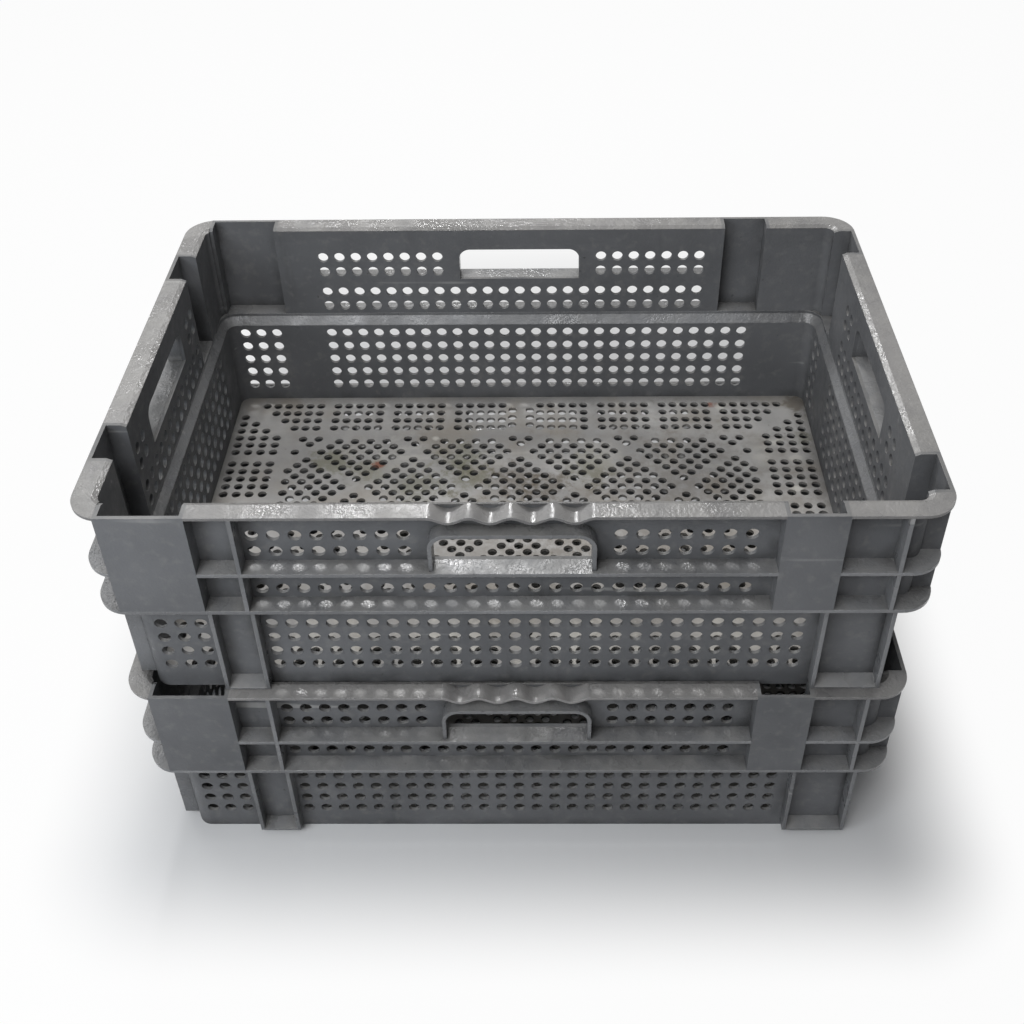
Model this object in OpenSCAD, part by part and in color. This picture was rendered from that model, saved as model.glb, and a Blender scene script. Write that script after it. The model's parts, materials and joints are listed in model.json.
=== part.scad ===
// Two stacking and nesting plastic crates with perforated floor and walls

/* [Crate] */
// Length over the rim
crate_l = 600; // [560:1:760]
// Width over the rim
crate_w = 400; // [370:1:520]
// Height of one crate from base to rim
crate_h = 194; // [165:1:240]
// Thickness of walls and ribs
wall_t = 3; // [2:0.1:4]
// Rim edge to the inside face of the upper wall
flange_w = 17.6; // [15:0.1:21]
// Rim edge to the inside face of the lower wall
base_set = 23.1; // [21.5:0.1:26]
// Outside corner radius of the rim and the ribs
rim_r = 25; // [23:0.5:30]
// Outside corner radius of the lower wall
base_r = 12; // [8:0.5:14]
// Thickness of the rim
rim_t = 2.4; // [2.2:0.1:4]
// Width of the sloped inside edge of the rim
lip_w = 4; // [0.5:0.1:5]
// Height of the sloped inside edge of the rim
lip_h = 1.8; // [0.5:0.1:2.1]
// Rim top down to the step between lower and upper wall
ledge_drop = 90; // [86:1:98]
// Height of the sloped band inside the step
bevel_h = 7.5; // [6:0.1:9]
// Rim top down to the rib half way up the upper wall
rib_drop = 53; // [50:0.5:56]

/* [Floor] */
// Height of the floor top
floor_z = 7; // [5:0.1:8]
// Diameter of the floor holes
floor_hole_d = 8; // [5:0.1:8.5]
// Spacing of the hole rows along the long edges
band_row = 11.5; // [10.5:0.1:12]
// Spacing of the holes along the long edges
band_pitch = 10.6; // [9.5:0.1:11]
// Spacing of the hole groups along the long edges
group_pitch = 59.6; // [56:0.1:66]
// Crate middle to the middle of the first hole group of the long edges
group_set = 39.7; // [36:0.1:44]
// Crate middle to the column of single holes of the long edges
single_set = 8.5; // [6:0.1:10]
// First hole row of the long edges to the first single hole
single_drop = 7.5; // [6:0.1:9]
// Lower wall face to the first hole row of the long edges
band_set = 13.4; // [10:0.1:16]
// Lower wall face to the first hole column of the short edges
end_set = 8.4; // [6:0.1:10]
// Spacing of the hole columns along the short edges
end_row = 11.8; // [10.5:0.1:12.5]
// First hole of a corner group to the last hole row of the other edge
corner_gap = 36; // [34:0.5:40]
// First hole of a corner group to the next group of the short edges
end_gap = 17; // [14:0.5:18]
// Spacing of the diamond hole groups
diamond_pitch = 100; // [96:1:110]
// Spacing of the holes in a diamond
diamond_hole = 15; // [13.5:0.1:15.5]
// Spacing of the hole rows in a diamond
diamond_row = 7.7; // [7.3:0.1:8]
// Lower wall face to the diamond field at the short ends
field_end = 57; // [55:1:64]
// Lower wall face to the diamond field at the long sides
field_side = 63; // [61:1:70]
// Distance of the diamond rows from the crate middle
diamond_y = 43; // [30:0.5:50]

/* [Wall holes] */
// Diameter of the wall holes
wall_hole_d = 9.6; // [7:0.1:11]
// Spacing of the wall holes
wall_pitch = 15; // [13:0.1:18]
// Least distance from a hole edge to a rib or corner
hole_edge = 0.5; // [0.3:0.1:2]
// Step top down to the first hole row of the lower wall
base_row = 19.3; // [16:0.1:24]
// Step or rib up to the first hole row of the upper wall
upper_row = 8.5; // [7:0.1:9]

/* [Stacking lugs] */
// Height of the lug feet, the depth a crate drops into the one below
lug_z = 8; // [6:0.5:12]
// Distance of the lug face from the rim edge
lug_set = 9; // [5:0.1:11]
// Thickness of the lug foot at the wall
lug_foot = 5.2; // [4:0.1:8]
// Thickness of the lug foot at its outer edge
lug_edge = 1.5; // [1:0.1:3]
// Narrow lug width on the long sides
narrow_w = 34; // [26:0.5:38]
// Narrow lug middle to the left end of the rim
narrow_end = 95.5; // [92:0.5:110]
// Wide lug width on the long sides
wide_w = 52; // [40:0.5:54]
// Wide lug middle to the right end of the rim
wide_end = 50.5; // [50:0.5:56]
// Lug width on the short sides
end_lug_w = 34; // [28:0.5:36]
// Lug middle on the left short side to the rim edge of the long side
outer_end = 45; // [44:0.5:50]
// Lug middle on the right short side to the rim edge of the long side
inner_end = 81.5; // [80:0.5:88]
// Gap on each side of a lug in its channel
lug_gap = 1.5; // [0.5:0.1:2]

/* [Handles] */
// Handle opening width
handle_w = 110; // [90:1:116]
// Handle opening height above the middle rib
handle_h = 31; // [24:0.5:36]
// Corner radius at the top of the handle opening
handle_r = 10; // [5:0.5:14]
// Distance of the handle hood from the rim edge
hood_set = 2.5; // [1:0.1:6]
// Number of finger hollows in the front rim
fingers = 4; // [2:1:5]
// Width of one finger hollow
finger_w = 28.3; // [24:0.1:30]
// Depth of the finger hollows
finger_d = 4.5; // [2:0.1:6]

/* [Ribs] */
// Right upright rib to the right end of the rim
post_end = 32; // [28:0.5:36]

/* [Hidden] */
$fn = 48;
// Degrees between the points of arcs and waves drawn as polygons
arc_step = 7.5;
// Reach of a cut past the face it cuts
cut = 1;
tiers = ["bottom", "top"];
pieces = ["floor", "base_wall_front", "base_wall_back", "base_wall_left", "base_wall_right", "base_corners",
    "step_sides", "step_ends", "step_corners",
    "upper_wall_front", "upper_wall_back", "upper_wall_left", "upper_wall_right", "upper_corners",
    "hand_panels", "hand_bridges", "channels_front", "channels_back", "channels_left", "channels_right",
    "rim_front", "rim_back", "rim_ends", "rim_corners", "mid_ribs", "mid_rib_corners", "posts",
    "handle_hoods", "lugs", "finger_grip"];

front = 0;
back = 1;
left = 2;
right = 3;
sides = [front, back, left, right];

// Half lengths from the middle along each side, and out to its rim edge
half_u = [crate_l/2, crate_l/2, crate_w/2, crate_w/2];
half_w = [crate_w/2, crate_w/2, crate_l/2, crate_l/2];

// Faces of the walls, measured out from the middle
function base_in(side) = half_w[side] - base_set;
function upper_in(side) = half_w[side] - flange_w;
step_z = crate_h - ledge_drop;
mid_rib_z = crate_h - rib_drop;
step_w = base_set - flange_w;
step_foot = step_z - wall_t;
base_top = step_foot - bevel_h;
upper_top = crate_h - rim_t;
rib_z = mid_rib_z - wall_t;
stack_pitch = crate_h - lug_z;

// Ends of the straight runs at the corners
upper_cut = rim_r;
base_cut = base_set - wall_t + base_r;
upper_wall_r = rim_r - flange_w;
base_wall_r = base_r - wall_t;

// Lugs and the channels that take the lugs of a crate turned end for end, as [middle, width]
narrow_u = crate_l/2 - narrow_end;
wide_u = crate_l/2 - wide_end;
outer_u = crate_w/2 - outer_end;
inner_u = crate_w/2 - inner_end;
long_lugs = [[-narrow_u, narrow_w], [wide_u, wide_w]];
left_lugs = [[-outer_u, end_lug_w], [outer_u, end_lug_w]];
right_lugs = [[-inner_u, end_lug_w], [inner_u, end_lug_w]];
lugs = [long_lugs, long_lugs, left_lugs, right_lugs];
function channel(middle, width) = [middle - width/2 - lug_gap, middle + width/2 + lug_gap];
long_channels = [channel(-wide_u, wide_w), channel(narrow_u, narrow_w)];
left_channels = [channel(-inner_u, end_lug_w), channel(inner_u, end_lug_w)];
right_channels = [channel(-outer_u, end_lug_w), channel(outer_u, end_lug_w)];
channels = [long_channels, long_channels, left_channels, right_channels];

// Runs of the upper wall and rim left between the channels
function runs(side) = [for (run = [
        [upper_cut - half_u[side], channels[side][0][0] - wall_t],
        [channels[side][0][1] + wall_t, channels[side][1][0] - wall_t],
        [channels[side][1][1] + wall_t, half_u[side] - upper_cut]])
    if (run[1] - run[0] > wall_t) run];

// The run in the middle of a side, which holds the hand hole, and the plain runs beside it
function hand_run(side) = [channels[side][0][1] + wall_t, channels[side][1][0] - wall_t];
function plain_runs(side) = [for (run = runs(side)) if (run != hand_run(side)) run];

// Hole columns between two ribs, on multiples of the spacing moved by a shift
hole_room = wall_hole_d/2 + hole_edge;
function columns(lo, hi, shift) = [
    for (k = [ceil((lo + hole_room - shift)/wall_pitch) : floor((hi - hole_room - shift)/wall_pitch)])
        k*wall_pitch + shift];
half_pitch = wall_pitch/2;
hood_w = handle_w/2 + wall_t;
finger_end = fingers*finger_w/2;
base_shift = [0, 0, half_pitch, half_pitch];

// Clear room for the holes between the lugs and channels of a side
function lug_lo(side) = lugs[side][0][0] + lugs[side][0][1]/2;
function lug_hi(side) = lugs[side][1][0] - lugs[side][1][1]/2;
function clear_lo(side) = max(lug_lo(side), channels[side][0][1] + wall_t);
function clear_hi(side) = min(lug_hi(side), channels[side][1][0] - wall_t);

base_rows = [for (z = [step_z - base_row : -wall_pitch : floor_z + hole_room]) z];
low_rows = [step_z + upper_row, step_z + upper_row + wall_pitch];
high_rows = [mid_rib_z + upper_row, mid_rib_z + upper_row + wall_pitch];

// Upper wall hole middles: full rows below the rib, and beside the hand hole above it
function low_holes(side) = [for (z = low_rows) for (u = columns(clear_lo(side), clear_hi(side), 0)) [u, z]];
function high_holes(side) = [for (z = high_rows) for (u = concat(
        columns(clear_lo(side), -hood_w, 0),
        columns(hood_w, clear_hi(side), 0))) [u, z]];

// Lower wall hole middles: between the lugs, and outside them up to the corners
base_end = [for (side = sides) half_u[side] - base_cut];
function base_holes(side) = [for (z = base_rows) for (u = concat(
        columns(-base_end[side], lugs[side][0][0] - lugs[side][0][1]/2, half_pitch),
        columns(lug_lo(side), lug_hi(side), base_shift[side]),
        columns(lugs[side][1][0] + lugs[side][1][1]/2, base_end[side], half_pitch))) [u, z]];

// Floor hole middles: four rows along each edge in groups of five, with a stepped group in each corner
floor_x = crate_l/2 - base_set;
floor_y = crate_w/2 - base_set;
signs = [-1, 1];
last_row = 3;
edge_rows = [0 : last_row];
corner_last = 5;
half_group = 2;
function band_y(row) = floor_y - band_set - row*band_row;
function end_x(row) = floor_x - end_set - row*end_row;
corner_x = end_x(last_row) - corner_gap;
corner_y = band_y(last_row) - corner_gap;
last_group_x = corner_x - (half_group + 1)*band_pitch;
group_x = [for (x = [group_set : group_pitch : last_group_x]) x];
band_groups = [for (row = edge_rows) for (x = group_x) for (i = [-half_group : half_group])
    [x + i*band_pitch, band_y(row)]];
band_corners = [for (row = edge_rows) for (i = [0 : corner_last - row])
    [corner_x + i*band_pitch, band_y(row)]];
band_singles = [for (row = [0 : last_row - 1]) [single_set, band_y(row) - single_drop]];
end_corners = [for (row = edge_rows) for (i = [0 : corner_last - row])
    [end_x(row), corner_y + i*band_pitch]];
end_groups = [for (row = edge_rows) for (i = [0 : 2*half_group])
    [end_x(row), corner_y - end_gap - i*band_pitch]];
end_middle = [for (row = edge_rows) for (i = [0.5, 1.5]) [end_x(row), i*band_pitch]];
edge_holes = [for (p = concat(band_groups, band_corners, band_singles, end_corners, end_groups, end_middle))
    for (sx = signs) for (sy = signs) [sx*p[0], sy*p[1]]];

// Floor hole middles: diamonds in a chequered field, cut off at its edges
diamond_half = 5;
diamond = [for (row = [-diamond_half : diamond_half])
    let (last = diamond_half - abs(row))
        for (i = [0 : last]) [(i - last/2)*diamond_hole, row*diamond_row]];
field_x = floor_x - field_end;
field_y = floor_y - field_side;
diamond_n = ceil(crate_l/diamond_pitch);
field_holes = [for (i = [-diamond_n : diamond_n]) for (j = [-diamond_n : diamond_n])
    if ((i + j) % 2 == 0) for (p = diamond)
        let (x = i*diamond_pitch/2 + p[0], y = diamond_y + j*diamond_pitch/2 + p[1])
            if (abs(x) <= field_x && abs(y) <= field_y) [x, y]];

// Moves a piece drawn for the back side, along X and out to Y, to any side
module on_side(side) {
    if (side == back) children();
    if (side == front) mirror([0, 1, 0]) children();
    if (side == right) mirror([1, -1, 0]) children();
    if (side == left) mirror([1, 0, 0]) mirror([1, -1, 0]) children();
}

// Stands a shape drawn along the wall and up as a plate from one distance out to another
module panel(from, to) {
    translate([0, to, 0]) rotate([90, 0, 0]) linear_extrude(to - from) children();
}

// Runs a section drawn outward and up along the wall from one place to another
module run_along(from, to) {
    translate([from, 0, 0]) rotate([90, 0, 90]) linear_extrude(to - from) children();
}

// Block between two opposite points
module block(lo, hi) {
    translate(lo) cube(hi - lo);
}

// Rectangle between two opposite points
module box2(lo, hi) {
    translate(lo) square(hi - lo);
}

// Quarter ring
module quarter_ring(r_in, r_out) {
    intersection() {
        difference() {
            circle(r_out);
            circle(r_in);
        }
        square(r_out);
    }
}

// Places a piece drawn for the back right corner at all corners
module at_corners() {
    for (sx = signs) for (sy = signs) mirror([(1 - sx)/2, 0, 0]) mirror([0, (1 - sy)/2, 0]) children();
}

// Places a piece drawn round the rim's back right corner at all corners, cut off at the channel beside it
wide_edge = wall_t - channels[back][0][0];
outer_edge = channels[right][1][1] + wall_t;
module at_rim_corners() {
    arc_x = crate_l/2 - upper_cut;
    arc_y = crate_w/2 - upper_cut;
    for (sx = signs) for (sy = signs) mirror([(1 - sx)/2, 0, 0]) mirror([0, (1 - sy)/2, 0]) intersection() {
        translate([arc_x, arc_y, 0]) children();
        block([max(arc_x, sx < 0 ? wide_edge : 0), max(arc_y, sx > 0 ? outer_edge : 0), 0],
            [crate_l, crate_w, 2*crate_h]);
    }
}

// Section of the rim: a flat plate on the wall, sloped along its inside edge
module rim_section(face, reach) {
    polygon([[face, upper_top], [reach, upper_top], [reach, crate_h],
        [face + lip_w, crate_h], [face, crate_h - lip_h]]);
}

// Section of the step: a sloped band that carries the upper wall, and a flat rib outside it
module step_section(face, reach) {
    polygon([[face, base_top], [face + wall_t, base_top], [face + wall_t + step_w, step_foot],
        [reach, step_foot], [reach, step_z], [face + step_w, step_z], [face + step_w, step_foot]]);
}

// Plate with round holes
module punched(lo, hi, holes, d) {
    difference() {
        box2(lo, hi);
        for (p = holes) translate(p) circle(d = d);
    }
}

// Rounded arch over the handle opening, grown outward by an amount
module handle_arch(grow) {
    r = handle_r + grow;
    x = handle_w/2 - handle_r;
    z = mid_rib_z + handle_h - handle_r;
    arc = [for (a = [0 : arc_step : 90]) [x + r*cos(a), z + r*sin(a)]];
    polygon(concat([[handle_w/2 + grow, mid_rib_z]], arc,
        [for (i = [len(arc) - 1 : -1 : 0]) [-arc[i][0], arc[i][1]]], [[-handle_w/2 - grow, mid_rib_z]]));
}

// Wavy section of the finger hollows
module finger_wave() {
    wave = [for (a = [0 : arc_step : 360*fingers])
        [a/360*finger_w - finger_end, crate_h - finger_d/2*(1 - cos(a))]];
    polygon(concat(wave, [for (i = [len(wave) - 1 : -1 : 0]) wave[i] - [0, rim_t]]));
}

module floor_plate() {
    quadrants = [[1, 1], [-1, 1], [-1, -1], [1, -1]];
    color([0.66, 0.65, 0.62]) translate([0, 0, floor_z - wall_t]) linear_extrude(wall_t) difference() {
        polygon([for (q = [0:3]) for (a = [90*q : arc_step : 90*q + 90])
            [quadrants[q][0]*(floor_x - base_wall_r), quadrants[q][1]*(floor_y - base_wall_r)]
                + base_wall_r*[cos(a), sin(a)]]);
        for (p = concat(edge_holes, field_holes)) translate(p) circle(d = floor_hole_d);
    }
}

module base_wall(side) {
    color([0.4, 0.41, 0.44]) on_side(side) panel(base_in(side), base_in(side) + wall_t)
        punched([-base_end[side], 0], [base_end[side], base_top], base_holes(side), wall_hole_d);
}

module base_corners() {
    color([0.4, 0.41, 0.44]) at_corners() translate([crate_l/2 - base_cut, crate_w/2 - base_cut, 0])
        linear_extrude(base_top) quarter_ring(base_wall_r, base_r);
}

module step_bar(side) {
    color([0.5, 0.51, 0.54]) on_side(side) run_along(-base_end[side], base_end[side])
        step_section(base_in(side), half_w[side]);
}

module step_corners() {
    cx = crate_l/2 - base_cut;
    cy = crate_w/2 - base_cut;
    ring = base_wall_r + step_w;
    color([0.5, 0.51, 0.54]) at_corners() {
        translate([cx, cy, 0]) rotate_extrude(angle = 90) step_section(base_wall_r, ring + 2*wall_t);
        translate([0, 0, step_z - wall_t]) linear_extrude(wall_t) difference() {
            union() {
                box2([cx, cy], [crate_l/2, crate_w/2 - rim_r]);
                box2([cx, crate_w/2 - rim_r], [crate_l/2 - rim_r, crate_w/2]);
                translate([crate_l/2 - rim_r, crate_w/2 - rim_r]) intersection() {
                    circle(rim_r);
                    square(rim_r);
                }
            }
            translate([cx, cy]) circle(ring + wall_t);
        }
    }
}

module upper_wall(side) {
    hand = hand_run(side);
    color([0.42, 0.43, 0.46]) on_side(side) panel(upper_in(side), upper_in(side) + wall_t) {
        for (run = plain_runs(side)) box2([run[0], step_z], [run[1], upper_top]);
        punched([hand[0], step_z], [hand[1], mid_rib_z], low_holes(side), wall_hole_d);
    }
}

module upper_corners() {
    color([0.42, 0.43, 0.46]) at_rim_corners() translate([0, 0, step_z])
        linear_extrude(upper_top - step_z) quarter_ring(upper_wall_r, upper_wall_r + wall_t);
}

// Upper wall on both sides of the hand holes
module hand_panels() {
    color([0.42, 0.43, 0.46]) for (side = sides) on_side(side) panel(upper_in(side), upper_in(side) + wall_t)
        for (run = [[hand_run(side)[0], -handle_w/2], [handle_w/2, hand_run(side)[1]]])
            punched([run[0], mid_rib_z], [run[1], upper_top], high_holes(side), wall_hole_d);
}

// Upper wall over the hand holes
module hand_bridges() {
    color([0.42, 0.43, 0.46]) for (side = sides) on_side(side) panel(upper_in(side), upper_in(side) + wall_t)
        difference() {
            box2([-handle_w/2, mid_rib_z + handle_h - handle_r], [handle_w/2, upper_top]);
            handle_arch(0);
        }
}

module channel_walls(side) {
    face = upper_in(side);
    color([0.42, 0.43, 0.46]) on_side(side) for (c = channels[side]) difference() {
        translate([0, 0, step_z]) linear_extrude(crate_h - step_z) difference() {
            box2([c[0] - wall_t, face], [c[1] + wall_t, half_w[side]]);
            box2([c[0], face - cut], [c[1], half_w[side] - wall_t]);
        }
        run_along(c[0] - wall_t - cut, c[1] + wall_t + cut)
            polygon([[face - cut, crate_h - lip_h], [face, crate_h - lip_h], [face + lip_w, crate_h],
                [face + lip_w, crate_h + cut], [face - cut, crate_h + cut]]);
    }
}

module rim_run(side) {
    color([0.62, 0.63, 0.65]) on_side(side) difference() {
        for (run = runs(side)) run_along(run[0], run[1]) rim_section(upper_in(side), half_w[side]);
        if (side == front)
            block([-finger_end, upper_in(side) + wall_t, upper_top - cut],
                [finger_end, half_w[side] + cut, crate_h + cut]);
    }
}

module rim_corners() {
    color([0.62, 0.63, 0.65]) at_rim_corners() rotate_extrude(angle = 90) rim_section(upper_wall_r, rim_r);
}

module mid_ribs() {
    color([0.5, 0.51, 0.54]) for (side = sides) on_side(side) for (run = runs(side))
        block([run[0], upper_in(side) + wall_t, rib_z], [run[1], half_w[side], mid_rib_z]);
}

module mid_rib_corners() {
    color([0.5, 0.51, 0.54]) at_rim_corners() translate([0, 0, rib_z])
        linear_extrude(wall_t) quarter_ring(upper_wall_r + wall_t, rim_r);
}

// Upright ribs in line with the narrow lugs and near the right end
module posts() {
    color([0.45, 0.46, 0.49]) for (side = [front, back]) on_side(side)
        for (u = [lug_lo(side) - wall_t, crate_l/2 - post_end - wall_t]) run_along(u, u + wall_t) {
            box2([upper_in(side) + wall_t, step_z], [half_w[side], rib_z]);
            box2([upper_in(side) + wall_t, mid_rib_z], [half_w[side], upper_top]);
        }
}

module handle_hoods() {
    color([0.45, 0.46, 0.49]) for (side = sides) on_side(side)
        panel(upper_in(side) + wall_t, half_w[side] - hood_set) difference() {
            handle_arch(wall_t);
            handle_arch(0);
        }
}

// One side rib of a lug, carried in to the rounded corner where the straight wall has ended
module lug_rib(side, u) {
    wall = base_in(side) + wall_t;
    reach = half_w[side] - lug_set;
    arc_y = half_w[side] - base_cut;
    cone_h = bevel_h + cut;
    if (max(abs(u), abs(u + wall_t)) > base_end[side]) difference() {
        block([u, arc_y + base_r/2, lug_z], [u + wall_t, reach, step_foot]);
        translate([sign(u)*base_end[side], arc_y, 0]) {
            cylinder(r = base_r, h = base_top);
            translate([0, 0, base_top])
                cylinder(r1 = base_r, r2 = base_r + step_w*cone_h/bevel_h, h = cone_h);
        }
    }
    else run_along(u, u + wall_t) polygon([[wall, lug_z], [reach, lug_z], [reach, step_foot],
        [wall + step_w, step_foot], [wall, base_top]]);
}

module stacking_lugs() {
    color([0.42, 0.43, 0.46]) for (side = sides) on_side(side) for (lug = lugs[side]) {
        lo = lug[0] - lug[1]/2;
        hi = lug[0] + lug[1]/2;
        wall = base_in(side) + wall_t;
        reach = half_w[side] - lug_set;
        lug_rib(side, lo);
        lug_rib(side, hi - wall_t);
        run_along(lo, hi) polygon([[wall, lug_z], [reach, lug_z], [reach, lug_z + lug_edge],
            [wall, lug_z + lug_foot]]);
    }
}

module finger_grip() {
    color([0.62, 0.63, 0.65]) on_side(front) panel(upper_in(front) + wall_t, half_w[front]) finger_wave();
}

for (i = [0, 1]) translate([0, 0, i*stack_pitch]) {
    floor_plate();
    base_wall(front);
    base_wall(back);
    base_wall(left);
    base_wall(right);
    base_corners();
    for (side = [front, back]) step_bar(side);
    for (side = [left, right]) step_bar(side);
    step_corners();
    upper_wall(front);
    upper_wall(back);
    upper_wall(left);
    upper_wall(right);
    upper_corners();
    hand_panels();
    hand_bridges();
    channel_walls(front);
    channel_walls(back);
    channel_walls(left);
    channel_walls(right);
    rim_run(front);
    rim_run(back);
    for (side = [left, right]) rim_run(side);
    rim_corners();
    mid_ribs();
    mid_rib_corners();
    posts();
    handle_hoods();
    stacking_lugs();
    finger_grip();
}
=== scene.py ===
"""Two stacked grey plastic crates: worn moulded plastic, pale floor and soft studio light."""
import json
import math

import bpy
from mathutils import Matrix, Vector


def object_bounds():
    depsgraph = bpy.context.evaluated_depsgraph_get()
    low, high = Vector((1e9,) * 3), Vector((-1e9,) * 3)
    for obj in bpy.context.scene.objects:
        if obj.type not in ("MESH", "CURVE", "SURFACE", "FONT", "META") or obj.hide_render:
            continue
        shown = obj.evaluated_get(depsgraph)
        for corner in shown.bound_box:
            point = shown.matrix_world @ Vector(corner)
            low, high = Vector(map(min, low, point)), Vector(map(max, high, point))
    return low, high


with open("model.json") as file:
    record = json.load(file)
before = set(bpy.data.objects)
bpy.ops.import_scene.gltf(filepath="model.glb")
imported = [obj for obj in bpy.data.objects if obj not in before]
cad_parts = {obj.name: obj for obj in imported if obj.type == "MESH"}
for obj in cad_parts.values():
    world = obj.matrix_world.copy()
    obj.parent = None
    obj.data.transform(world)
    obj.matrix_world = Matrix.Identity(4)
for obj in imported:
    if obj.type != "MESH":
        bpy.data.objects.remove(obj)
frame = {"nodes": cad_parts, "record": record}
cad_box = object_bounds()
nodes = frame["nodes"]

# Camera: picture width, focal length and middle in pixels, place in metres, angles in degrees
IMAGE = 1024
FOCAL_PX = 1250.2
CENTRE_PX = (528.3, 433.5)
SENSOR_MM = 36.0
CAMERA_AT = (0.0223, -0.8089, 0.9451)
YAW = 0.937
PITCH = 39.011
ROLL = -0.836

# Colours as they look in plain light
WALL_DARK = (93, 94, 96)
WALL_LIGHT = (108, 109, 111)
RIB_LIGHT = (120, 121, 123)
RIM_DARK = (98, 97, 97)
RIM_LIGHT = (124, 122, 121)
RUBBED_AND_HIGHLIGHT = (182, 181, 178)
DUST = (146, 144, 140)
GRIME_AND_SHADE = (38, 37, 34)
FLOOR_DARK = (147, 145, 143)
FLOOR_LIGHT = (180, 178, 175)
FLOOR_WARM = (148, 140, 128)
MOSS = (104, 103, 72)
SOIL_AND_SHADE = (92, 80, 62)
CHALK_AND_LIGHT = (205, 202, 194)
RUST = (132, 66, 36)
PAPER = (212, 212, 212)

# Light, as linear colours
WHITE = (1, 1, 1, 1)
SKY_TINT = (0.94, 0.96, 1.0, 1)
COOL = (0.97, 0.98, 1)
BLUISH = (0.9, 0.95, 1)

# Sizes in metres
BASE_HALF = nodes["top_floor"].dimensions / 2
STACK_HALF = (cad_box[1] - cad_box[0]) / 2
EDGE_RADIUS = 0.001
FLOOR_EDGE_RADIUS = 0.0008
CORNER_DEPTH = 0.012
FLOOR_CORNER_DEPTH = 0.02
FLOOR_RELIEF = 0.0005
GROUND_SIZE = 12
GROUND_Z = -0.0005

# Rounded edges: cosine of the turn where the edge begins and where it is full
EDGE_BEGINS = 0.995
EDGE_FULL = 0.9

# Painted shade in tight corners: open share of the surroundings where it begins and where it is full
HOLLOW_BEGINS = 0.85
HOLLOW_FULL = 0.3

# Rays for each look into the edges and corners
LOOK_RAYS = 2

# Surface finish: grain, span of the roughness over the least one, floor gloss and least share of dust
BUMP_STRENGTH = 0.6
COARSE_OVER_FINE = 2.0
ROUGH_SPAN = 0.4
FLOOR_ROUGH = 0.35
FLOOR_SPECULAR = 0.3
LEAST_DUST = 0.2
NOISE_MIDDLE = 0.5

# Stains and painted patches of light and shade fade from core to rim and wander in and out, all as shares
# of their radius
PATCH_CORE = 0.2
PATCH_RIM = 1.1
PATCH_WANDER = 4

# Stains, and patches of painted light and shade, on the crate floor: middle x and y and radius in metres,
# colour, strength
STAINS_AND_PAINTED_LIGHT = (
    (-0.176, 0.078, 0.022, MOSS, 0.55),
    (-0.141, 0.065, 0.022, MOSS, 0.45),
    (-0.091, 0.046, 0.026, MOSS, 0.45),
    (-0.055, 0.083, 0.028, MOSS, 0.45),
    (-0.046, 0.055, 0.026, MOSS, 0.50),
    (0.064, 0.068, 0.026, MOSS, 0.50),
    (0.265, 0.112, 0.012, MOSS, 0.45),
    # Painted shade: two broad dark patches over the right and the front of the floor.
    (0.160, -0.060, 0.200, SOIL_AND_SHADE, 0.30),
    (-0.030, -0.070, 0.100, SOIL_AND_SHADE, 0.30),
    (-0.005, 0.055, 0.024, SOIL_AND_SHADE, 0.50),
    (0.027, 0.042, 0.024, SOIL_AND_SHADE, 0.55),
    (0.270, 0.164, 0.016, SOIL_AND_SHADE, 0.60),
    # Painted light: a row of pale patches along the front of the floor, inside the front wall.
    (-0.160, -0.150, 0.050, CHALK_AND_LIGHT, 0.50),
    (-0.050, -0.155, 0.050, CHALK_AND_LIGHT, 0.60),
    (0.050, -0.150, 0.050, CHALK_AND_LIGHT, 0.60),
    (0.160, -0.150, 0.050, CHALK_AND_LIGHT, 0.50),
    (-0.120, 0.090, 0.034, CHALK_AND_LIGHT, 0.30),
    (-0.081, 0.112, 0.004, CHALK_AND_LIGHT, 0.80),
    (0.075, 0.088, 0.024, CHALK_AND_LIGHT, 0.40),
    (0.194, 0.159, 0.006, CHALK_AND_LIGHT, 0.90),
    (0.225, 0.085, 0.014, CHALK_AND_LIGHT, 0.45),
    (0.241, 0.104, 0.007, CHALK_AND_LIGHT, 0.85),
    (0.250, 0.038, 0.006, CHALK_AND_LIGHT, 0.70),
    (0.256, 0.083, 0.008, CHALK_AND_LIGHT, 0.55),
    (-0.131, 0.074, 0.006, RUST, 0.80),
    (0.185, 0.164, 0.006, RUST, 0.80),
)


def linear(rgb):
    """Linear colour with alpha from 0 to 255 display values."""
    def one(v):
        v /= 255
        return v / 12.92 if v <= 0.04045 else ((v + 0.055) / 1.055) ** 2.4
    return tuple(one(v) for v in rgb) + (1.0,)


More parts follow.
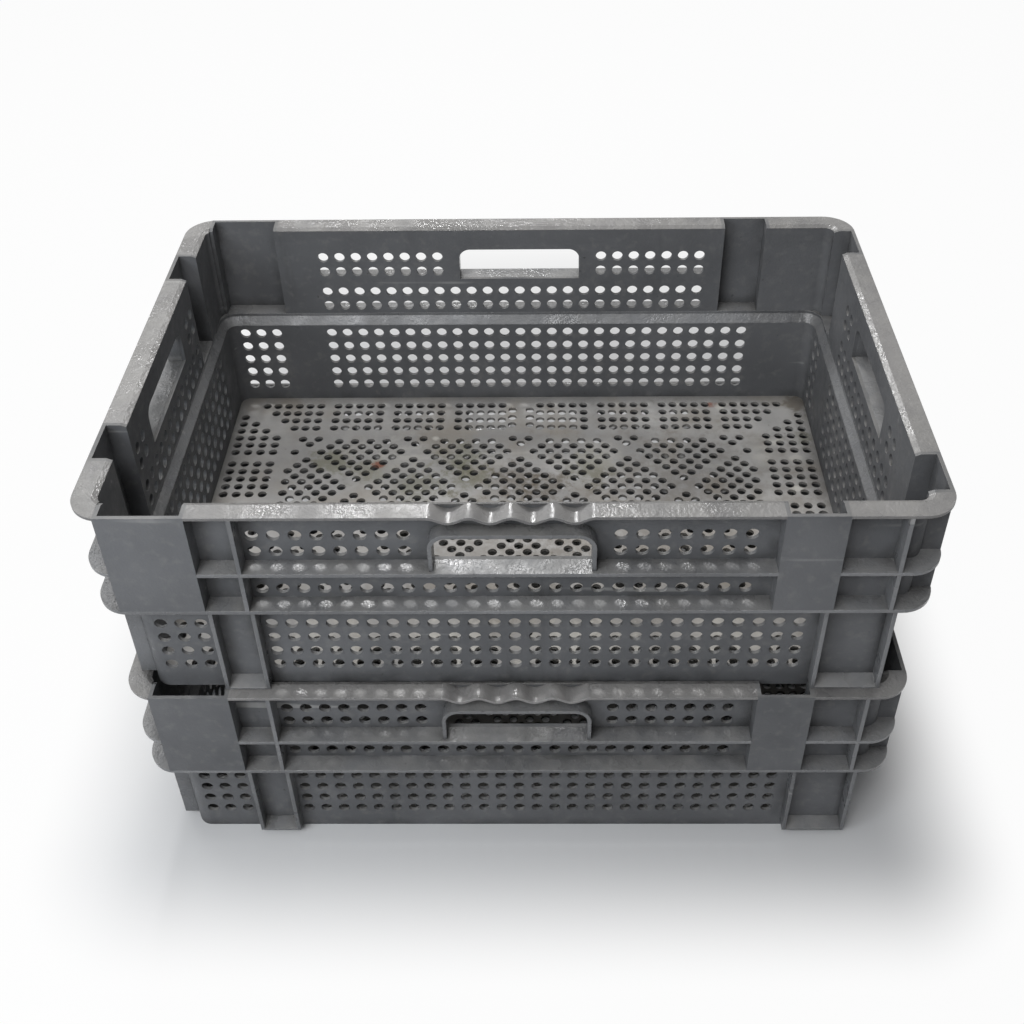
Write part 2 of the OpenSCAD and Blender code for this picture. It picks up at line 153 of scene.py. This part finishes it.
class Shader:
    """Small helper that writes the nodes of one material."""

    def __init__(self, tree):
        self.tree = tree
        tree.nodes.clear()

    def node(self, kind, inputs=None, **settings):
        """New node with its settings, and its inputs linked or set."""
        made = self.tree.nodes.new(kind)
        for key, value in settings.items():
            setattr(made, key, value)
        for key, value in (inputs or {}).items():
            self.put(made.inputs[key], value)
        return made

    def put(self, socket, value):
        """Link a socket to another, or set its value."""
        if isinstance(value, bpy.types.NodeSocket):
            self.tree.links.new(value, socket)
        else:
            socket.default_value = value

    def math(self, operation, a, b=0.0, clamp=False):
        """Sum, product or other operation on two numbers."""
        return self.node("ShaderNodeMath", {0: a, 1: b}, operation=operation, use_clamp=clamp).outputs[0]

    def times(self, *factors):
        """Product of all the factors."""
        product = factors[0]
        for factor in factors[1:]:
            product = self.math("MULTIPLY", product, factor)
        return product

    def vector(self, operation, a, b=(0, 0, 0)):
        """Operation on vectors that gives a vector."""
        return self.node("ShaderNodeVectorMath", {0: a, 1: b}, operation=operation).outputs["Vector"]

    def measure(self, operation, a, b=(0, 0, 0)):
        """Operation on vectors that gives a number."""
        return self.node("ShaderNodeVectorMath", {0: a, 1: b}, operation=operation).outputs["Value"]

    def split(self, vector):
        """Outputs X, Y and Z of a vector."""
        return self.node("ShaderNodeSeparateXYZ", {0: vector}).outputs

    def join(self, x, y, z):
        """Vector of three numbers."""
        return self.node("ShaderNodeCombineXYZ", {"X": x, "Y": y, "Z": z}).outputs[0]

    def mix(self, amount, a, b):
        """Colour a at 0, display colour b at 1."""
        made = self.node("ShaderNodeMix", data_type="RGBA")
        self.put(made.inputs["Factor"], amount)
        self.put(made.inputs["A"], a if isinstance(a, bpy.types.NodeSocket) else linear(a))
        self.put(made.inputs["B"], linear(b))
        return made.outputs["Result"]

    def coat(self, colour, tint, *masks, share):
        """Colour under a share of a tint, where all the masks let it show."""
        return self.mix(self.times(*masks, share), colour, tint)

    def ramp(self, value, low, high):
        """0 at low, 1 at high, smooth between and level outside."""
        made = self.node("ShaderNodeMapRange", {"Value": value, "From Min": low, "From Max": high},
                         interpolation_type="SMOOTHSTEP")
        return made.outputs["Result"]

    def ramp_out(self, value, edge, reach):
        """0 up to an edge, then rising by 1 for each reach."""
        return self.math("MAXIMUM", self.math("DIVIDE", self.math("SUBTRACT", value, edge), reach), 0.0)

    def place(self, stretch=(1, 1, 1), turn=(0, 0, 0)):
        """Coordinates fixed to the piece, stretched and turned by degrees."""
        coords = self.node("ShaderNodeTexCoord").outputs["Object"]
        angles = [math.radians(degrees) for degrees in turn]
        mapping = {"Vector": coords, "Scale": stretch, "Rotation": angles}
        return self.node("ShaderNodeMapping", mapping).outputs[0]

    def noise(self, scale, detail, seed, rough=0.55, where=None):
        """Cloudy noise from 0 to 1."""
        clouds = {"Vector": where or self.place(), "Scale": scale, "Detail": detail,
                  "Roughness": rough, "W": seed}
        return self.node("ShaderNodeTexNoise", clouds, noise_dimensions="4D").outputs["Fac"]

    def patches(self, scale, detail, seed, low, high, rough=0.55, where=None):
        """Soft patches: 0 where the noise is under low, 1 where it is over high."""
        return self.ramp(self.noise(scale, detail, seed, rough, where), low, high)

    def grain(self, fine, coarse):
        """Surface relief of a fine noise on a coarse one."""
        return self.math("ADD", fine, self.times(coarse, COARSE_OVER_FINE))

    def up(self):
        """How far the surface faces up, from -1 to 1."""
        return self.split(self.node("ShaderNodeTexCoord").outputs["Normal"])["Z"]

    def flat(self):
        """Normal of the surface as it is."""
        return self.node("ShaderNodeNewGeometry").outputs["Normal"]

    def rounded(self, radius, lengthwise=False):
        """Normal with softened edges, and a mask that is 1 on the edges.

        Lengthwise leaves out the edges across a piece, which are its joints with the next piece.
        """
        soft = self.node("ShaderNodeBevel", {"Radius": radius}, samples=LOOK_RAYS).outputs["Normal"]
        flat = self.flat()
        if lengthwise:
            place = self.split(self.vector("ABSOLUTE", self.place()))
            tilt = self.split(self.vector("SUBTRACT", soft, flat))
            tilt_x = self.times(tilt["X"], self.math("LESS_THAN", place["Y"], BASE_HALF.y))
            tilt_y = self.times(tilt["Y"], self.math("LESS_THAN", place["X"], BASE_HALF.x))
            soft = self.vector("NORMALIZE", self.vector("ADD", flat, self.join(tilt_x, tilt_y, tilt["Z"])))
        return soft, self.ramp(self.measure("DOT_PRODUCT", soft, flat), EDGE_BEGINS, EDGE_FULL)

    def painted_corner_shade(self, depth):
        """1 in tight corners, 0 in the open, for painted shade."""
        seen = self.node("ShaderNodeAmbientOcclusion", {"Distance": depth}, samples=LOOK_RAYS).outputs["AO"]
        return self.ramp(seen, HOLLOW_BEGINS, HOLLOW_FULL)

    def background(self):
        """1 for the rays that should see the white background."""
        path = self.node("ShaderNodeLightPath").outputs
        seen = self.math("MAXIMUM", path["Is Camera Ray"], path["Is Glossy Ray"])
        return self.math("MAXIMUM", seen, path["Is Transmission Ray"])

    def plastic(self, colour, roughness, bump, relief, normal, specular):
        """Finished plastic surface."""
        bumped = self.node("ShaderNodeBump", {"Height": bump, "Strength": BUMP_STRENGTH, "Distance": relief,
                                              "Normal": normal}).outputs[0]
        surface = self.node("ShaderNodeBsdfPrincipled", {"Base Color": colour, "Roughness": roughness,
                                                         "Normal": bumped, "Specular IOR Level": specular})
        self.node("ShaderNodeOutputMaterial", {"Surface": surface.outputs[0]})


def new_material(name):
    """Empty material and the helper that fills it."""
    material = bpy.data.materials.new(name)
    material.use_nodes = True
    return material, Shader(material.node_tree)


def worn_plastic(name, dark, light, seed, dust, edge_wear_and_highlight, rough, specular, relief, edges=None):
    """Grey moulding with settled dust, edges rubbed and lightened in part as painted highlight, drip marks,
    scuffs, and dirt with painted shade in its corners.

    Dust is the share on faces that look up, and edge_wear_and_highlight the share on edges, of rubbed wear
    and painted highlight. Rough is the least roughness, and relief the height of the surface grain in
    metres. Edges says which are rounded: lengthwise, all or none.
    """
    material, s = new_material(name)
    colour = s.mix(s.patches(scale=6, detail=4, seed=seed, low=0.35, high=0.65), dark, light)

    film = s.patches(scale=110, detail=3, seed=seed + 1, low=0.5, high=0.75)
    colour = s.coat(colour, DUST, film, share=0.2)

    upright = s.place(stretch=(1, 1, 0.1))
    drips = s.patches(scale=26, detail=5, seed=seed + 2, low=0.55, high=0.75, rough=0.7, where=upright)
    colour = s.coat(colour, GRIME_AND_SHADE, drips, share=0.22)

    slanted = s.place(stretch=(0.07, 1, 1), turn=(0, 18, 25))
    scuffs = s.patches(scale=70, detail=2, seed=seed + 3, low=0.68, high=0.74, rough=0.4, where=slanted)
    colour = s.coat(colour, RUBBED_AND_HIGHLIGHT, scuffs, share=0.4)

    facing_up = s.ramp(s.up(), low=0.3, high=0.95)
    settled = s.patches(scale=32, detail=5, seed=seed + 4, low=0.3, high=0.7, rough=0.65)
    settled = s.math("ADD", settled, LEAST_DUST, clamp=True)
    colour = s.coat(colour, DUST, facing_up, settled, share=dust)

    normal = s.flat()
    if edges:
        normal, edge = s.rounded(EDGE_RADIUS, edges == "lengthwise")
        edge_patches = s.patches(scale=45, detail=3, seed=seed + 5, low=0.3, high=0.6)
        # Edges lightened by rubbed wear and, in part, painted highlight.
        colour = s.coat(colour, RUBBED_AND_HIGHLIGHT, edge, edge_patches, share=edge_wear_and_highlight)

    spots = s.patches(scale=190, detail=2, seed=seed + 10, low=0.7, high=0.78)
    colour = s.coat(colour, GRIME_AND_SHADE, spots, share=0.5)

    # Painted shade: darkening in tight corners and recesses, broken up by patches of dirt.
    dirt = s.patches(scale=30, detail=3, seed=seed + 6, low=0.3, high=0.65)
    colour = s.coat(colour, GRIME_AND_SHADE, s.painted_corner_shade(CORNER_DEPTH), dirt, share=0.8)

    matt = s.patches(scale=30, detail=3, seed=seed + 7, low=0.35, high=0.65)
    roughness = s.math("ADD", s.times(matt, ROUGH_SPAN), rough)
    bump = s.grain(s.noise(scale=480, detail=3, seed=seed + 8), s.noise(scale=90, detail=2, seed=seed + 9))
    s.plastic(colour, roughness, bump, relief, normal, specular)
    return material


def floor_plastic(name, seed, painted_shade):
    """Paler floor with washed-in stains, painted patches of light and shade, chalky streaks and rust spots,
    all under a share of painted shade that darkens the whole floor.
    """
    material, s = new_material(name)
    normal, edge = s.rounded(FLOOR_EDGE_RADIUS)
    colour = s.mix(s.patches(scale=12, detail=5, seed=seed, low=0.3, high=0.7), FLOOR_DARK, FLOOR_LIGHT)

    warm = s.patches(scale=20, detail=4, seed=seed + 1, low=0.45, high=0.7)
    colour = s.coat(colour, FLOOR_WARM, warm, share=0.6)

    for turn, shift in ((45, 2), (-45, 3)):
        slanted = s.place(stretch=(0.12, 1, 1), turn=(0, 0, turn))
        streaks = s.patches(scale=26, detail=4, seed=seed + shift, low=0.58, high=0.75, rough=0.6,
                            where=slanted)
        colour = s.coat(colour, CHALK_AND_LIGHT, streaks, share=0.5)

    level = s.place(stretch=(1, 1, 0))
    wander = s.math("SUBTRACT", s.noise(scale=90, detail=6, seed=seed + 4, rough=0.75), NOISE_MIDDLE)
    # Real stains, and the listed patches of painted light and shade.
    for x, y, radius, tint, strength in STAINS_AND_PAINTED_LIGHT:
        away = s.measure("DISTANCE", level, (x, y, 0))
        away = s.math("ADD", away, s.times(wander, PATCH_WANDER * radius))
        patch = s.ramp(away, PATCH_RIM * radius, PATCH_CORE * radius)
        colour = s.coat(colour, tint, patch, share=strength)

    specks = s.patches(scale=150, detail=2, seed=seed + 5, low=0.66, high=0.76)
    colour = s.coat(colour, SOIL_AND_SHADE, specks, share=0.45)
    colour = s.coat(colour, CHALK_AND_LIGHT, edge, share=0.3)
    # Painted shade: darkening in the floor's corners and inside its holes.
    colour = s.coat(colour, GRIME_AND_SHADE, s.painted_corner_shade(FLOOR_CORNER_DEPTH), share=0.85)
    # Painted shade: the whole floor darkened by this share.
    colour = s.mix(painted_shade, colour, GRIME_AND_SHADE)

    matt = s.noise(scale=30, detail=3, seed=seed + 6)
    roughness = s.math("ADD", s.times(matt, ROUGH_SPAN), FLOOR_ROUGH)
    bump = s.grain(s.noise(scale=220, detail=3, seed=seed + 7), s.noise(scale=35, detail=2, seed=seed + 8))
    s.plastic(colour, roughness, bump, FLOOR_RELIEF, normal, FLOOR_SPECULAR)
    return material


# Look of each kind of piece: a piece named here has its own, the others go by their slot
looks = {
    "wall_plastic": worn_plastic("wall_plastic", WALL_DARK, WALL_LIGHT, seed=0.0, dust=0.5, edge_wear_and_highlight=0.0,
                                 rough=0.35, specular=0.15, relief=0.0004),
    "rib_plastic": worn_plastic("rib_plastic", WALL_DARK, RIB_LIGHT, seed=20.0, dust=0.45, edge_wear_and_highlight=0.4,
                                rough=0.12, specular=0.5, relief=0.0008, edges="lengthwise"),
    "rim_plastic": worn_plastic("rim_plastic", RIM_DARK, RIM_LIGHT, seed=40.0, dust=0.5, edge_wear_and_highlight=0.4,
                                rough=0.08, specular=0.5, relief=0.0009, edges="lengthwise"),
    "handle_hoods": worn_plastic("hood_plastic", WALL_DARK, WALL_LIGHT, seed=80.0, dust=0.6, edge_wear_and_highlight=0.2,
                                 rough=0.08, specular=0.5, relief=0.0009, edges="all"),
    "finger_grip": worn_plastic("grip_plastic", RIM_DARK, RIM_LIGHT, seed=40.0, dust=0.4, edge_wear_and_highlight=0.8,
                                rough=0.05, specular=0.5, relief=0.0005, edges="all"),
    "lugs": worn_plastic("lug_plastic", WALL_DARK, RIB_LIGHT, seed=100.0, dust=0.5, edge_wear_and_highlight=0.5,
                         rough=0.2, specular=0.4, relief=0.0005, edges="all"),
    "posts": worn_plastic("post_plastic", WALL_DARK, RIB_LIGHT, seed=120.0, dust=0.5, edge_wear_and_highlight=0.0,
                          rough=0.2, specular=0.4, relief=0.0005),
    "top_floor": floor_plastic("floor_plastic", seed=60.0, painted_shade=0.0),
    # The lower floor is painted dark to stand in for its shade.
    "bottom_floor": floor_plastic("low_floor_plastic", seed=60.0, painted_shade=0.88),
}
for part in frame["record"]["subparts"]:
    name = part["node"]
    kind = name.split("_", 1)[1]
    look = looks.get(name) or looks.get(kind) or looks[part["material_slot"]]
    nodes[name].data.materials.clear()
    nodes[name].data.materials.append(look)


def paper_floor(white_share, reach, behind, far_reach):
    """Pale floor that keeps the shadow near and behind the crates and looks white further out."""
    bpy.ops.mesh.primitive_plane_add(size=GROUND_SIZE, location=(0, 0, GROUND_Z))
    ground = bpy.context.object
    ground.name = "ground"
    material, s = new_material("ground")
    matt = s.node("ShaderNodeBsdfDiffuse", {"Color": linear(PAPER)})
    white = s.node("ShaderNodeEmission", {"Color": WHITE, "Strength": 1.0})
    place = s.split(s.place())
    beside = s.ramp_out(s.math("ABSOLUTE", place["X"]), STACK_HALF.x, reach)
    ahead = s.ramp_out(s.times(place["Y"], -1), STACK_HALF.y, reach)
    back = s.ramp_out(place["Y"], STACK_HALF.y + behind, far_reach)
    away = s.measure("LENGTH", s.join(beside, ahead, back))
    seen = s.times(s.background(), s.ramp(away, 0.0, 1.0), white_share)
    both = s.node("ShaderNodeMixShader", {0: seen, 1: matt.outputs[0], 2: white.outputs[0]})
    s.node("ShaderNodeOutputMaterial", {"Surface": both.outputs[0]})
    ground.data.materials.append(material)


def sky(strength):
    """Plain pale surroundings, white where they are seen."""
    world = bpy.data.worlds.new("studio")
    bpy.context.scene.world = world
    world.use_nodes = True
    s = Shader(world.node_tree)
    ambient = s.node("ShaderNodeBackground", {"Color": SKY_TINT, "Strength": strength})
    white = s.node("ShaderNodeBackground", {"Color": WHITE, "Strength": 1.0})
    both = s.node("ShaderNodeMixShader", {0: s.background(), 1: ambient.outputs[0], 2: white.outputs[0]})
    s.node("ShaderNodeOutputWorld", {"Surface": both.outputs[0]})


def lamp(name, at, aim, size, watts, colour=WHITE[:3]):
    """Soft panel lamp at one point, turned to another."""
    data = bpy.data.lights.new(name, "AREA")
    data.energy = watts
    data.color = colour
    data.shape = "RECTANGLE"
    data.size, data.size_y = size
    made = bpy.data.objects.new(name, data)
    made.location = at
    made.rotation_euler = (Vector(aim) - Vector(at)).to_track_quat("-Z", "Y").to_euler()
    bpy.context.scene.collection.objects.link(made)


paper_floor(white_share=0.95, reach=0.13, behind=0.25, far_reach=0.45)
sky(strength=0.1)
lamp("overhead", at=(-0.2, -0.2, 2.2), aim=(0, 0, 0.25), size=(0.9, 0.9), watts=10)
lamp("window", at=(-0.28, 1.67, 2.12), aim=(-0.05, -0.1, 0.35), size=(0.45, 0.4), watts=26)
lamp("side", at=(-1.2, 1.2, 1.6), aim=(0, 0, 0.3), size=(0.8, 0.8), watts=5)
lamp("front", at=(-0.4, -1.35, 1.85), aim=(-0.05, 0, 0.25), size=(0.8, 0.8), watts=18, colour=COOL)
lamp("low", at=(-0.7, -0.8, 0.75), aim=(-0.25, -0.2, 0.2), size=(0.4, 0.4), watts=4, colour=BLUISH)

camera_data = bpy.data.cameras.new("camera")
camera_data.sensor_width = SENSOR_MM
camera_data.lens = FOCAL_PX / IMAGE * SENSOR_MM
camera_data.shift_x = (IMAGE / 2 - CENTRE_PX[0]) / IMAGE
camera_data.shift_y = (CENTRE_PX[1] - IMAGE / 2) / IMAGE
camera = bpy.data.objects.new("camera", camera_data)
turned = (Matrix.Rotation(math.radians(YAW), 4, "Z")
          @ Matrix.Rotation(math.radians(90 - PITCH), 4, "X")
          @ Matrix.Rotation(math.radians(ROLL), 4, "Z"))
camera.matrix_world = Matrix.Translation(CAMERA_AT) @ turned
bpy.context.scene.collection.objects.link(camera)
bpy.context.scene.camera = camera
bpy.context.scene.view_settings.view_transform = "Standard"
